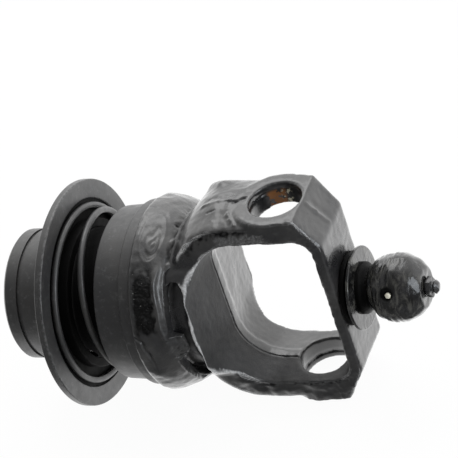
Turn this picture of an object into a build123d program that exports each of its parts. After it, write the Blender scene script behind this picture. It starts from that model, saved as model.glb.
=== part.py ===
from build123d import *
import os
from math import ceil, cos, radians, sin, sqrt

os.makedirs("parts", exist_ok=True)

# The frame: origin where the hub axis meets the axis of the cross bores, +X along the hub axis
# towards the ball stud, +Z along the cross bores. All sizes are in millimetres.

# Fork
cross_span = 92.0
cross_bore = 22.0
clip_groove_depth = 0.9
clip_groove_width = 1.8
clip_groove_inset = 2.6
ear_radius = 17.1
arm_radius = 46.4
arm_root_radius = 24.0
arm_root_x = -22.0
arm_half_width = 17.6
arm_root_half_width = 20.3
arm_waist_x = -26.5
fork_flare_radius = 11.0
ear_half_width = 16.3
bridge_half_width = 14.5
bridge_face_x = 20.5
bridge_thickness = 6.6
bridge_corner_z = 32.3
ear_front_x = 12.2
front_edge_radius = 1.2
arm_edge_radius = 1.0
arm_root_blend = 2.4

# Window between the arms
window_back_x = -34.6
window_half_height = 33.8
window_root_radius = 18.0
window_front_radius = 6.0
window_draft = 6.0
trim_land_width = 4.6
trim_land_height = 0.5
window_edge_radius = 0.7

# Neck of the forging and its side pockets
neck_radius = 34.5
pocket_center_x = -42.8
pocket_width = 8.2
pocket_height = 48.0
pocket_depth = 4.4

# Weld
joint_face_x = -56.0
weld_root_radius = 33.4
weld_hub_toe_step = 4.5
weld_neck_toe_step = 11.8
weld_neck_seat_step = 4.5
weld_crest_radius = 40.3
weld_crest_step = 2.2
weld_flank_step = 5.0
weld_flank_drop = 1.0
weld_foot_step = 10.0
weld_foot_drop = 2.9
weld_hub_toe_direction = (0.35, 1)
weld_neck_toe_direction = (0.5, -1)

# Splined hub
hub_end_x = -124.0
hub_radius = 27.3
hub_end_chamfer = 1.0
shoulder_face_x = -77.7
shoulder_radius = 35.9
shoulder_end_radius = 36.6
shoulder_edge_radius = 0.8
weld_ring_x = -65.5
weld_ring_radius = 38.4
weld_ring_edge_radius = 0.9
mark_groove_x = -117.0
mark_groove_width = 1.8
mark_groove_depth = 0.8
spline_count = 6
spline_major_radius = 17.4
spline_minor_radius = 14.85
spline_slot_width = 8.7

# Locking balls
ball_count = 3
ball_radius = 6.35
ball_plane_x = -96.3
ball_locked_radius = 21.0
ball_hole_clearance = 0.15
ball_seat_inset = 2.0
ball_lip_drop = 0.9

# Release collar
collar_clearance = 0.3
flange_radius = 47.5
flange_front_x = -95.2
flange_thickness = 3.2
collar_body_radius = 40.0
collar_body_length = 4.4
collar_body_rounding = 2.0
spring_recess_radius = 39.5
spring_recess_depth = 1.2
collar_sleeve_radius = 31.2
collar_sleeve_length = 3.4
collar_edge_radius = 0.5
sleeve_edge_radius = 0.6
cam_pocket_radius = 30.5
cam_land_lead = 1.1

# Retaining ring
ring_thickness = 2.3
ring_groove_depth = 1.2
ring_outer_radius = 32.5
ring_side_clearance = 0.1
ring_gap = 5.0

# Spring
wire_diameter = 2.8
spring_wide_radius = 36.6
spring_narrow_radius = 32.0
spring_wide_start = -345.0
spring_taper_start = -90.0
spring_lift_start = -30.0
spring_lift_end = 215.0
spring_narrow_end = 400.0
spring_seat_gap = 0.2
spring_point_step = 15.0

# Ball stud, washer and nipple
stud_ball_radius = 14.15
stud_ball_x = 41.0
stud_flat_x = 52.7
stud_shank_radius = 8.0
stud_end_projection = 1.4
stud_end_chamfer = 0.9
stud_flange_radius = 15.0
stud_flange_thickness = 2.5
stud_step_radius = 12.5
stud_step_thickness = 1.3
stud_seat_radius = 10.6
stud_seat_length = 3.0
stud_neck_radius = 8.8
stud_neck_ease = 0.6
washer_radius = 17.0
washer_thickness = 1.3
washer_edge_radius = 0.4
nipple_shank_radius = 3.0
nipple_shank_length = 6.0
nipple_hex_flats = 8.0
nipple_hex_height = 2.4
nipple_waist_radius = 2.3
nipple_waist_length = 0.7
nipple_shoulder_radius = 2.6
nipple_head_radius = 3.2
nipple_head_length = 2.2
nipple_head_chamfer = 0.5
nipple_tip_radius = 1.6
nipple_hole_radius = 0.9
nipple_valve_depth = 1.0
grease_passage_radius = 1.5
grease_outlet_angle = 25.4

# Overshoot of the cuts, and how closely an edge matches the size it is picked by
cut_margin = 1.0
match_tolerance = 0.01

# Places that follow from the sizes above
ear_z = cross_span / 2
bridge_inner_x = bridge_face_x - bridge_thickness
flange_back_x = flange_front_x - flange_thickness
collar_back_x = flange_back_x - collar_body_length
collar_bore_radius = hub_radius + collar_clearance
spring_recess_x = flange_front_x - spring_recess_depth
collar_sleeve_x = flange_front_x + collar_sleeve_length
ball_angles = [90 + 360 / ball_count * i for i in range(ball_count)]
ball_hole_radius = ball_radius + ball_hole_clearance
arm_root_z = arm_radius - arm_root_radius
root_crease_x = arm_root_x - sqrt(arm_root_radius**2 - (neck_radius - arm_root_z) ** 2)
weld_hub_toe_x = joint_face_x - weld_hub_toe_step
weld_neck_toe_x = joint_face_x + weld_neck_toe_step
weld_neck_seat_x = joint_face_x + weld_neck_seat_step
weld_crest_x = joint_face_x - weld_crest_step


def circles_of(shape, radius):
    """Circular edges of a shape that have a given radius."""
    circles = shape.edges().filter_by(GeomType.CIRCLE)
    return circles.filter_by(lambda edge: abs(edge.radius - radius) < match_tolerance)


# The neck of the forging, which flares into the arms inside the window
with BuildPart() as neck:
    with BuildSketch(Plane.XZ):
        with BuildLine():
            Polyline(
                (arm_waist_x, neck_radius),
                (arm_waist_x, 0),
                (joint_face_x, 0),
                (joint_face_x, weld_root_radius),
                (weld_neck_seat_x, weld_root_radius),
                (weld_neck_seat_x, neck_radius),
                close=True,
            )
        make_face()
    revolve(axis=Axis.X)
    with BuildSketch(Plane.XY.offset(-neck_radius)):
        flare_top = arm_half_width + fork_flare_radius
        flare_x = arm_waist_x - fork_flare_radius
        with BuildLine():
            Polyline((arm_waist_x, 0), (arm_waist_x, arm_half_width))
            CenterArc((arm_waist_x, flare_top), fork_flare_radius, 180, 90)
            Polyline(
                (flare_x, flare_top),
                (flare_x, neck_radius),
                (joint_face_x, neck_radius),
                (joint_face_x, 0),
                (arm_waist_x, 0),
            )
        make_face()
        mirror(about=Plane.XZ)
    extrude(amount=2 * neck_radius, mode=Mode.INTERSECT)

# The yoke: arms turned to a dome at their roots, ears, bridge and neck in one forging
with BuildPart() as yoke:
    with BuildSketch(Plane.XZ):
        with BuildLine():
            CenterArc((arm_root_x, arm_root_z), arm_root_radius, 90, 90)
            Polyline(
                (arm_root_x - arm_root_radius, arm_root_z),
                (arm_root_x - arm_root_radius, 0),
                (bridge_face_x, 0),
                (bridge_face_x, arm_radius),
                (arm_root_x, arm_radius),
            )
        make_face()
    revolve(axis=Axis.X)

    # Plan of the arms and the bridge
    with BuildSketch(Plane.XY.offset(-arm_radius)):
        with BuildLine():
            Polyline(
                (bridge_face_x, 0),
                (bridge_face_x, bridge_half_width),
                (0, ear_half_width),
                (arm_waist_x, arm_half_width),
                (arm_root_x - arm_root_radius, arm_root_half_width),
                (arm_root_x - arm_root_radius, 0),
                close=True,
            )
        make_face()
        mirror(about=Plane.XZ)
    extrude(amount=2 * arm_radius, mode=Mode.INTERSECT)
    arm_edges = yoke.edges().filter_by(lambda edge: abs(edge.center().Z) > neck_radius)
    fillet(arm_edges.filter_by_position(Axis.X, arm_root_x - arm_root_radius, 0), arm_edge_radius)
    add(neck.part)

    # Ears, flat at the ends of the cross bores
    with BuildSketch(Plane.XY.offset(-ear_z)):
        Circle(ear_radius)
        with BuildLine():
            Polyline(
                (0, -ear_radius),
                (bridge_face_x, -bridge_half_width),
                (bridge_face_x, bridge_half_width),
                (0, ear_radius),
                close=True,
            )
        make_face()
    extrude(amount=cross_span)

    # Side outline with the sloped corners between ears and bridge
    with BuildSketch(Plane.XZ):
        with BuildLine():
            Polyline(
                (joint_face_x, -ear_z),
                (ear_front_x, -ear_z),
                (bridge_face_x, -bridge_corner_z),
                (bridge_face_x, bridge_corner_z),
                (ear_front_x, ear_z),
                (joint_face_x, ear_z),
                close=True,
            )
        make_face()
    extrude(amount=arm_radius, both=True, mode=Mode.INTERSECT)
    front_faces = yoke.faces().filter_by(GeomType.PLANE).filter_by(lambda face: face.normal_at().X > 0.5)
    fillet(front_faces.edges(), front_edge_radius)

    # Blend where the domed roots of the arms rise from the neck
    root_creases = yoke.edges().filter_by_position(
        Axis.X, root_crease_x - match_tolerance, root_crease_x + match_tolerance
    )
    fillet(root_creases.filter_by(lambda edge: abs(edge.center().Z) > arm_root_z), arm_root_blend)

    # Window: a trimmed land along the parting plane, and drafted walls on both sides of it
    window_length = bridge_inner_x - window_back_x
    window_middle_x = (bridge_inner_x + window_back_x) / 2
    for side in (1, -1):
        with BuildSketch(Plane.XZ.offset(side * trim_land_width / 2)) as window_outline:
            with Locations((window_middle_x, 0)):
                Rectangle(
                    window_length + 2 * trim_land_height,
                    2 * window_half_height + 2 * trim_land_height,
                )
            back_corners = window_outline.vertices().group_by(Axis.X)[0]
            fillet(back_corners, window_root_radius + trim_land_height)
            front_corners = window_outline.vertices().group_by(Axis.X)[-1]
            fillet(front_corners, window_front_radius + trim_land_height)
        extrude(amount=side * neck_radius, taper=-window_draft, mode=Mode.SUBTRACT)
    with BuildSketch(Plane.XZ) as land_outline:
        with Locations((window_middle_x, 0)):
            Rectangle(window_length, 2 * window_half_height)
        fillet(land_outline.vertices().group_by(Axis.X)[0], window_root_radius)
        fillet(land_outline.vertices().group_by(Axis.X)[-1], window_front_radius)
    extrude(amount=trim_land_width, both=True, mode=Mode.SUBTRACT)
    rims = yoke.edges().filter_by(Axis.Z).filter_by_position(
        Axis.X, bridge_inner_x + 2 * trim_land_height, bridge_face_x - 2 * front_edge_radius
    )
    fillet(rims, window_edge_radius)

    # Cross bores with their clip grooves
    Cylinder(cross_bore / 2, cross_span, mode=Mode.SUBTRACT)
    for side in (1, -1):
        with Locations((0, 0, side * (ear_z - clip_groove_inset - clip_groove_width / 2))):
            Cylinder(cross_bore / 2 + clip_groove_depth, clip_groove_width, mode=Mode.SUBTRACT)

    # Pockets in both sides of the neck: a groove that ends short of the arms
    with BuildPart(mode=Mode.SUBTRACT):
        with BuildSketch(Plane.XZ):
            with Locations((pocket_center_x, neck_radius)):
                Rectangle(pocket_width, 2 * pocket_depth)
        revolve(axis=Axis.X)
        with BuildSketch(Plane.XZ):
            with Locations((pocket_center_x, 0)):
                SlotOverall(pocket_height, pocket_width, rotation=90)
        extrude(amount=neck_radius + pocket_depth, both=True, mode=Mode.INTERSECT)

    # Hole for the ball stud
    with BuildSketch(Plane.YZ.offset(bridge_inner_x - cut_margin)):
        Circle(stud_shank_radius)
    extrude(amount=bridge_thickness + cut_margin, mode=Mode.SUBTRACT)
yoke.part.label = "yoke"

# The splined hub: turned outside, broached inside, drilled for the locking balls
ring_groove_back_x = collar_back_x - ring_thickness - 2 * ring_side_clearance
with BuildPart() as splined_hub:
    with BuildSketch(Plane.XZ):
        with BuildLine():
            Polyline(
                (hub_end_x, 0),
                (hub_end_x, hub_radius - hub_end_chamfer),
                (hub_end_x + hub_end_chamfer, hub_radius),
                (shoulder_face_x, hub_radius),
                (shoulder_face_x, shoulder_radius),
                (weld_ring_x, shoulder_end_radius),
                (weld_ring_x, weld_ring_radius),
                (weld_hub_toe_x, weld_ring_radius),
                (weld_hub_toe_x, weld_root_radius),
                (joint_face_x, weld_root_radius),
                (joint_face_x, 0),
                close=True,
            )
        make_face()
    revolve(axis=Axis.X)
    fillet(circles_of(splined_hub, shoulder_radius), shoulder_edge_radius)
    fillet(circles_of(splined_hub, weld_ring_radius).sort_by(Axis.X)[0], weld_ring_edge_radius)

    # Grooves for the retaining ring and at the end of the hub
    grooves = (
        (ring_groove_back_x, ring_thickness + 2 * ring_side_clearance, ring_groove_depth),
        (mark_groove_x - mark_groove_width / 2, mark_groove_width, mark_groove_depth),
    )
    for start_x, width, depth in grooves:
        with BuildSketch(Plane.YZ.offset(start_x)):
            Circle(hub_radius + cut_margin)
            Circle(hub_radius - depth, mode=Mode.SUBTRACT)
        extrude(amount=width, mode=Mode.SUBTRACT)

    # Six-spline bore
    with BuildSketch(Plane.YZ.offset(hub_end_x)):
        with PolarLocations(spline_major_radius / 2, spline_count, start_angle=30):
            Rectangle(spline_major_radius, spline_slot_width)
        Circle(spline_major_radius, mode=Mode.INTERSECT)
        Circle(spline_minor_radius)
    extrude(amount=joint_face_x - hub_end_x, mode=Mode.SUBTRACT)

    # Ball holes, each narrowing to a lip that keeps its ball out of the bore
    seat_level = ball_locked_radius - ball_seat_inset
    ball_lip_radius = ball_hole_radius - ball_lip_drop
    with BuildPart(mode=Mode.SUBTRACT):
        for angle in ball_angles:
            outward = (0, cos(radians(angle)), sin(radians(angle)))
            sideways = (0, -sin(radians(angle)), cos(radians(angle)))
            with BuildSketch(Plane(origin=(ball_plane_x, 0, 0), x_dir=(1, 0, 0), z_dir=sideways)):
                Polygon(
                    (0, spline_minor_radius / 2),
                    (ball_lip_radius, spline_minor_radius / 2),
                    (ball_lip_radius, spline_major_radius),
                    (ball_hole_radius, seat_level),
                    (ball_hole_radius, hub_radius + cut_margin),
                    (0, hub_radius + cut_margin),
                    align=None,
                )
            revolve(axis=Axis((ball_plane_x, 0, 0), outward))
splined_hub.part.label = "splined_hub"

# The weld: a heavy bead around the joint of hub and forging
with BuildPart() as weld_bead:
    with BuildSketch(Plane.XZ):
        with BuildLine():
            Polyline(
                (weld_neck_toe_x, neck_radius),
                (weld_neck_seat_x, neck_radius),
                (weld_neck_seat_x, weld_root_radius),
                (weld_hub_toe_x, weld_root_radius),
                (weld_hub_toe_x, weld_ring_radius),
            )
            Spline(
                (weld_hub_toe_x, weld_ring_radius),
                (weld_crest_x, weld_crest_radius),
                (weld_crest_x + weld_flank_step, weld_crest_radius - weld_flank_drop),
                (weld_crest_x + weld_foot_step, weld_crest_radius - weld_foot_drop),
                (weld_neck_toe_x, neck_radius),
                tangents=(weld_hub_toe_direction, weld_neck_toe_direction),
            )
        make_face()
    revolve(axis=Axis.X)
weld_bead.part.label = "weld_bead"

# The release collar: flange, body, spring recess and the cam over the balls
with BuildPart() as release_collar:
    cam_start_x = ball_plane_x + cam_land_lead
    cam_end_x = cam_start_x - (cam_pocket_radius - collar_bore_radius)
    with BuildSketch(Plane.XZ):
        with BuildLine():
            Polyline(
                (collar_back_x, cam_pocket_radius),
                (collar_back_x, collar_body_radius),
                (flange_back_x, collar_body_radius),
                (flange_back_x, flange_radius),
                (flange_front_x, flange_radius),
                (flange_front_x, spring_recess_radius),
                (spring_recess_x, spring_recess_radius),
                (spring_recess_x, collar_sleeve_radius),
                (collar_sleeve_x, collar_sleeve_radius),
                (collar_sleeve_x, collar_bore_radius),
                (cam_start_x, collar_bore_radius),
                (cam_end_x, cam_pocket_radius),
                close=True,
            )
        make_face()
    revolve(axis=Axis.X)
    back_edges = release_collar.edges().filter_by(GeomType.CIRCLE).group_by(Axis.X)[0]
    fillet(back_edges.sort_by(lambda e: e.radius)[-1], collar_body_rounding)
    fillet(circles_of(release_collar, flange_radius), collar_edge_radius)
    fillet(circles_of(release_collar, spring_recess_radius).sort_by(Axis.X)[-1], collar_edge_radius)
    fillet(circles_of(release_collar, collar_sleeve_radius).sort_by(Axis.X)[-1], sleeve_edge_radius)
release_collar.part.label = "release_collar"

# The retaining ring, split so that it can be sprung into its groove
with BuildPart() as retaining_ring:
    with BuildSketch(Plane.YZ.offset(ring_groove_back_x + ring_side_clearance)):
        Circle(ring_outer_radius)
        Circle(hub_radius - ring_groove_depth, mode=Mode.SUBTRACT)
        with Locations((0, -ring_outer_radius)):
            Rectangle(ring_gap, ring_outer_radius, mode=Mode.SUBTRACT)
    extrude(amount=ring_thickness)
retaining_ring.part.label = "retaining_ring"

# The spring: a wide flat turn in the collar, one open turn and a narrow flat turn on the hub
wide_turn_x = spring_recess_x + spring_seat_gap + wire_diameter / 2
narrow_turn_x = shoulder_face_x - spring_seat_gap - wire_diameter / 2


def spring_point(angle):
    """Centre of the wire at an angle, in degrees, counted along the coil."""
    lift = min(max((angle - spring_lift_start) / (spring_lift_end - spring_lift_start), 0), 1)
    taper = min(max((angle - spring_taper_start) / (spring_lift_end - spring_taper_start), 0), 1)
    x = wide_turn_x + (narrow_turn_x - wide_turn_x) * lift
    r = spring_wide_radius + (spring_narrow_radius - spring_wide_radius) * taper
    return (x, r * cos(radians(angle)), r * sin(radians(angle)))


with BuildPart() as collar_spring:
    turn = spring_narrow_end - spring_wide_start
    steps = ceil(turn / spring_point_step)
    with BuildLine() as coil:
        Spline([spring_point(spring_wide_start + turn * i / steps) for i in range(steps + 1)])
    with BuildSketch(Plane(origin=coil.line @ 0, z_dir=coil.line % 0)):
        Circle(wire_diameter / 2)
    sweep(path=coil.line, is_frenet=True)
collar_spring.part.label = "collar_spring"

# The locking balls
locking_balls = []
for number, angle in enumerate(ball_angles, 1):
    with BuildPart() as locking_ball:
        with Locations(
            (
                ball_plane_x,
                ball_locked_radius * cos(radians(angle)),
                ball_locked_radius * sin(radians(angle)),
            )
        ):
            Sphere(ball_radius)
    locking_ball.part.label = f"locking_ball_{number}"
    locking_balls.append(locking_ball.part)

# The ball stud: shank, flange, seat for the washer, neck and truncated ball
stud_end_x = bridge_inner_x - stud_end_projection
stud_flange_x = bridge_face_x + stud_flange_thickness
washer_seat_x = stud_flange_x + stud_step_thickness
neck_shoulder_x = washer_seat_x + stud_seat_length
neck_ball_x = stud_ball_x - sqrt(stud_ball_radius**2 - stud_neck_radius**2)
flat_radius = sqrt(stud_ball_radius**2 - (stud_flat_x - stud_ball_x) ** 2)
with BuildPart() as ball_stud:
    with BuildSketch(Plane.XZ):
        with BuildLine():
            Polyline(
                (stud_flat_x, flat_radius),
                (stud_flat_x, 0),
                (stud_end_x, 0),
                (stud_end_x, stud_shank_radius - stud_end_chamfer),
                (stud_end_x + stud_end_chamfer, stud_shank_radius),
                (bridge_face_x, stud_shank_radius),
                (bridge_face_x, stud_flange_radius),
                (stud_flange_x, stud_flange_radius),
                (stud_flange_x, stud_step_radius),
                (washer_seat_x, stud_step_radius),
                (washer_seat_x, stud_seat_radius),
                (neck_shoulder_x, stud_seat_radius),
                (neck_ball_x - stud_neck_ease, stud_neck_radius),
                (neck_ball_x, stud_neck_radius),
            )
            ThreePointArc(
                (neck_ball_x, stud_neck_radius),
                (stud_ball_x, stud_ball_radius),
                (stud_flat_x, flat_radius),
            )
        make_face()
    revolve(axis=Axis.X)

    # Nipple thread, grease passage and its outlet in the side of the ball
    with BuildSketch(Plane.YZ.offset(stud_flat_x)):
        Circle(nipple_shank_radius)
    extrude(amount=-nipple_shank_length, mode=Mode.SUBTRACT)
    with BuildSketch(Plane.YZ.offset(stud_ball_x)):
        Circle(grease_passage_radius)
    extrude(amount=stud_flat_x - stud_ball_x, mode=Mode.SUBTRACT)
    outlet = (0, -cos(radians(grease_outlet_angle)), sin(radians(grease_outlet_angle)))
    with BuildSketch(Plane(origin=(stud_ball_x, 0, 0), x_dir=(1, 0, 0), z_dir=outlet)):
        Circle(grease_passage_radius)
    extrude(amount=stud_ball_radius, mode=Mode.SUBTRACT)
ball_stud.part.label = "ball_stud"

# The dust washer, seated on the step behind the ball
with BuildPart() as dust_washer:
    with BuildSketch(Plane.YZ.offset(washer_seat_x)):
        Circle(washer_radius)
        Circle(stud_seat_radius, mode=Mode.SUBTRACT)
    extrude(amount=washer_thickness)
    fillet(circles_of(dust_washer, washer_radius), washer_edge_radius)
dust_washer.part.label = "dust_washer"

# The grease nipple in the flat of the ball
nipple_hex_x = stud_flat_x + nipple_hex_height
nipple_waist_x = nipple_hex_x + nipple_waist_length
nipple_tip_x = nipple_waist_x + nipple_head_length
with BuildPart() as grease_nipple:
    with BuildSketch(Plane.YZ.offset(stud_flat_x - nipple_shank_length)):
        Circle(nipple_shank_radius)
    extrude(amount=nipple_shank_length)
    with BuildSketch(Plane.YZ.offset(stud_flat_x)):
        RegularPolygon(nipple_hex_flats / 2, 6, major_radius=False)
    extrude(amount=nipple_hex_height)
    with BuildSketch(Plane.XZ):
        with BuildLine():
            Polyline(
                (nipple_hex_x, 0),
                (nipple_hex_x, nipple_waist_radius),
                (nipple_waist_x, nipple_shoulder_radius),
                (nipple_waist_x + nipple_head_chamfer, nipple_head_radius),
                (nipple_tip_x, nipple_tip_radius),
                (nipple_tip_x, 0),
                close=True,
            )
        make_face()
    revolve(axis=Axis.X)
    with BuildSketch(Plane.YZ.offset(stud_flat_x - nipple_shank_length)):
        Circle(nipple_hole_radius)
    nipple_length = nipple_tip_x - stud_flat_x + nipple_shank_length
    extrude(amount=nipple_length - nipple_valve_depth, mode=Mode.SUBTRACT)
grease_nipple.part.label = "grease_nipple"

export_step(yoke.part, "parts/yoke.step")
export_step(splined_hub.part, "parts/splined_hub.step")
export_step(weld_bead.part, "parts/weld_bead.step")
export_step(release_collar.part, "parts/release_collar.step")
export_step(retaining_ring.part, "parts/retaining_ring.step")
export_step(collar_spring.part, "parts/collar_spring.step")
for ball in locking_balls:
    export_step(ball, f"parts/{ball.label}.step")
export_step(ball_stud.part, "parts/ball_stud.step")
export_step(dust_washer.part, "parts/dust_washer.step")
export_step(grease_nipple.part, "parts/grease_nipple.step")
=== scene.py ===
"""Looks of a forged drive shaft yoke with its ball stud and its quick-release collar."""

from math import atan2, cos, exp, hypot, pi, radians, sin, sqrt

import bmesh
import bpy
from bpy.props import FloatProperty, FloatVectorProperty, IntProperty, PointerProperty
from mathutils import Matrix, Vector, noise


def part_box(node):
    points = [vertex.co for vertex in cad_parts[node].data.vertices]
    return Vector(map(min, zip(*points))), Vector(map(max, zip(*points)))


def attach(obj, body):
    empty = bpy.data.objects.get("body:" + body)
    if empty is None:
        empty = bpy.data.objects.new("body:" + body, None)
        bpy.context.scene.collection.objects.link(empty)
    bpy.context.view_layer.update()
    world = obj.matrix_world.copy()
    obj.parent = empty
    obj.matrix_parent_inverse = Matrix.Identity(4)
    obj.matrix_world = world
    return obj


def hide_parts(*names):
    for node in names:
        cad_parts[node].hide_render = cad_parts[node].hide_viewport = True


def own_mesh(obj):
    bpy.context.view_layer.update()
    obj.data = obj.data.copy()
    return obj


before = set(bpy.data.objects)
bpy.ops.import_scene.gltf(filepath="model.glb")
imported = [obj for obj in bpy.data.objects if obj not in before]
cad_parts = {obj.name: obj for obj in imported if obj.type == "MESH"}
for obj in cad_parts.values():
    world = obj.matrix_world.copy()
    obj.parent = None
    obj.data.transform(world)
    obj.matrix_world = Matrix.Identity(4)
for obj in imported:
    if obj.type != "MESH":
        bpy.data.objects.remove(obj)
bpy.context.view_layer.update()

bl_info = {
    "name": "Forged Yoke Looks",
    "version": (1, 0, 0),
    "blender": (4, 5, 0),
    "location": "View3D > Sidebar > Yoke",
    "description": "Dresses a forged yoke: fork, weld, hub, collar, spring and ball stud",
    "category": "Add Mesh",
}

MM = 0.001
SHOULDER = 46.3 * MM  # from the hub's end to the face that the spring stands on
BALL_MIDDLE = Vector((41.0, 0.0, 0.0))  # of the ball stud, in millimetres
OUTLET = Vector((41.0, -12.78, 6.07))  # of its grease passage, in millimetres
RUNS_SEED = 1795788963  # of the noise that bends the runs of paint on the ball
collar_low, collar_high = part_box("release_collar")
spring_low, spring_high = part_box("collar_spring")
hub_low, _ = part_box("splined_hub")
weld_low, weld_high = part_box("weld_bead")


def length(name, description, default):
    """A size in metres that a user may change."""
    return FloatProperty(
        name=name, description=description, default=default, unit="LENGTH", precision=5
    )


def tilt(name, description, degrees):
    """An angle that a user may change."""
    return FloatProperty(
        name=name, description=description, default=radians(degrees), subtype="ANGLE"
    )


def amount(name, description, default):
    """A plain number that a user may change."""
    return FloatProperty(name=name, description=description, default=default)


def count(name, description, default, least):
    """A number of faces or passes that a user may change."""
    return IntProperty(name=name, description=description, default=default, min=least)


def colour(name, description, default):
    """A surface colour that a user may change."""
    return FloatVectorProperty(
        name=name, description=description, default=default, subtype="COLOR", min=0.0, max=1.0
    )


class StageSettings(bpy.types.PropertyGroup):
    """Camera, floor and light."""

    azimuth: tilt("Azimuth", "Turn of the camera about the object", 30.008)
    elevation: tilt("Elevation", "Height of the camera above the horizon", 34.112)
    roll: tilt("Roll", "Tilt of the camera about its own line of sight", -19.461)
    distance: length("Distance", "From the fork's centre to the camera", 1.0899)
    slide_right: length("Slide Right", "Camera's place beside its line of sight", -0.030566)
    slide_up: length("Slide Up", "Camera's place above its line of sight", 0.024066)
    lens: amount("Lens", "Focal length in millimetres", 212.21)
    floor_size: length("Floor Size", "Width of the pale floor", 6.0)
    floor_colour: colour("Floor", "Colour of the floor", (0.9, 0.9, 0.9))
    back_light: amount("Back Light", "Brightness of the pale walls", 1.6)
    front_light: amount("Front Light", "Brightness of the dark wall", 0.22)
    dark_wall: FloatVectorProperty(
        name="Dark Wall", description="Direction of the dark wall in front of the object",
        default=(-0.1, -1.0, 0.0), subtype="DIRECTION",
    )
    dark_floor: length("Dark Floor", "Where the floor in front turns dark, along Y", -0.016)
    dark_slant: amount("Dark Slant", "Slant of that line towards X", 0.35)
    key_power: amount("Key", "Power of the lamp overhead in watts", 2.5)
    strip_power: amount("Strip", "Power of the tall lamp at the right in watts", 4.4)
    strip_colour: colour("Strip Colour", "Tint of the tall lamp", (0.88, 0.94, 1.0))


class PaintSettings(bpy.types.PropertyGroup):
    """Colours of the paint, of what shows through it, and of the painted shade and highlights."""

    gloss: colour("Gloss Black", "Paint on the forging and the ball", (0.014, 0.014, 0.015))
    satin: colour("Satin Black", "Paint on the turned parts", (0.022, 0.022, 0.023))
    # This pale black also lightens the edges of the fork and the weld, as a painted highlight.
    thin_paint_and_highlight: colour("Thin Paint", "Where the paint is thin or dusty", (0.036, 0.035, 0.034))
    # Besides the weld's soot, this black paints shade in the fork's hollows, the weld's creases,
    # the recesses of the hub and the collar, and on the ball's stud.
    soot: colour("Soot", "Dark, dull zone of the weld", (0.005, 0.005, 0.005))
    steel: colour("Bare Steel", "Steel that shows in small chips", (0.42, 0.41, 0.40))
    bright: colour("Bright Steel", "Polished parts of the locking balls", (0.62, 0.62, 0.61))
    rust: colour("Rust", "Stain in the cross bore", (0.30, 0.115, 0.025))
    # This pale grey also paints the highlight on the fork's rim and edges.
    wear_and_highlight: colour("Worn Edge", "Paint worn thin over a sharp edge", (0.55, 0.55, 0.55))
    chalk: colour("Chalk", "Pale crumbs in the cross bore", (0.62, 0.58, 0.44))
    grease: colour("Grease", "Pale grease in the outlet of the ball", (0.62, 0.60, 0.50))
    film: colour("Film", "Smears of grease on the ball", (0.085, 0.083, 0.074))


class ForkSettings(bpy.types.PropertyGroup):
    """Skin of the forged fork."""

    mesh_step: length("Mesh Step", "Size of the skin's small faces", 0.76 * MM)
    smoothing: count("Smoothing", "Passes that round the edges", 3, 0)
    wave_depth: length("Wave Depth", "Height of the wide waves in the forging", 0.20 * MM)
    grit_depth: length("Grit Depth", "Height of the fine lumps in the forging", 0.10 * MM)
    bore_radius: length("Bore Radius", "Radius of the cross bores", 11.0 * MM)


class WeldSettings(bpy.types.PropertyGroup):
    """Shape of the weld bead."""

    steps_around: count("Steps Around", "Faces around the bead", 760, 48)
    steps_across: count("Steps Across", "Faces across the bead", 58, 8)
    crest_radius: length("Crest Radius", "Radius of the bead's highest line", 40.3 * MM)
    hub_foot: length("Hub Foot", "Radius of the bead at the hub", 38.4 * MM)
    neck_foot: length("Neck Foot", "Radius of the bead at the neck", 34.4 * MM)
    pocket_foot: length("Pocket Foot", "Radius of the bead's foot in the neck's pocket", 30.9 * MM)
    wave_depth: length("Wave Depth", "Height of the wide waves in the bead", 0.42 * MM)
    swirl_depth: length("Swirl Depth", "Height of the rings where the bead was closed", 0.15 * MM)
    lump_depth: length("Lump Depth", "Height of the rough lumps at the neck", 0.6 * MM)
    pit_depth: length("Pit Depth", "Roughness of the sooty zone", 0.35 * MM)
    lip_height: length("Lip Height", "Height of the lip beside the neck's pocket", 1.5 * MM)


class SpringSettings(bpy.types.PropertyGroup):
    """Coil of the collar's spring."""

    wire: length("Wire", "Diameter of the wire", 2.8 * MM)
    wide_radius: length("Wide Radius", "Radius of the turn in the collar", 36.6 * MM)
    narrow_radius: length("Narrow Radius", "Radius of the turn on the hub", 32.0 * MM)


SETTINGS = {
    "yoke_stage": StageSettings,
    "yoke_paint": PaintSettings,
    "yoke_fork": ForkSettings,
    "yoke_weld": WeldSettings,
    "yoke_spring": SpringSettings,
}


# Shaders


class Socket:
    """A node's output. Arithmetic on it adds Math nodes."""

    def __init__(self, finish, output):
        self.finish = finish
        self.output = output

    def math(self, operation, first, second):
        return self.finish.add("ShaderNodeMath", {"operation": operation}, {0: first, 1: second})

    def __add__(self, other):
        return self.math("ADD", self, other)

    def __radd__(self, other):
        return self.math("ADD", other, self)

    def __sub__(self, other):
        return self.math("SUBTRACT", self, other)

    def __rsub__(self, other):
        return self.math("SUBTRACT", other, self)

    def __mul__(self, other):
        return self.math("MULTIPLY", self, other)

    def __rmul__(self, other):
        return self.math("MULTIPLY", other, self)

    def between(self, low, high):
        """0 below low, 1 above high and smooth in between. With low above high it falls instead."""
        settings = {"interpolation_type": "SMOOTHSTEP", "clamp": True}
        values = {"Value": self, "From Min": low, "From Max": high}
        return self.finish.add("ShaderNodeMapRange", settings, values)


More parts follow.
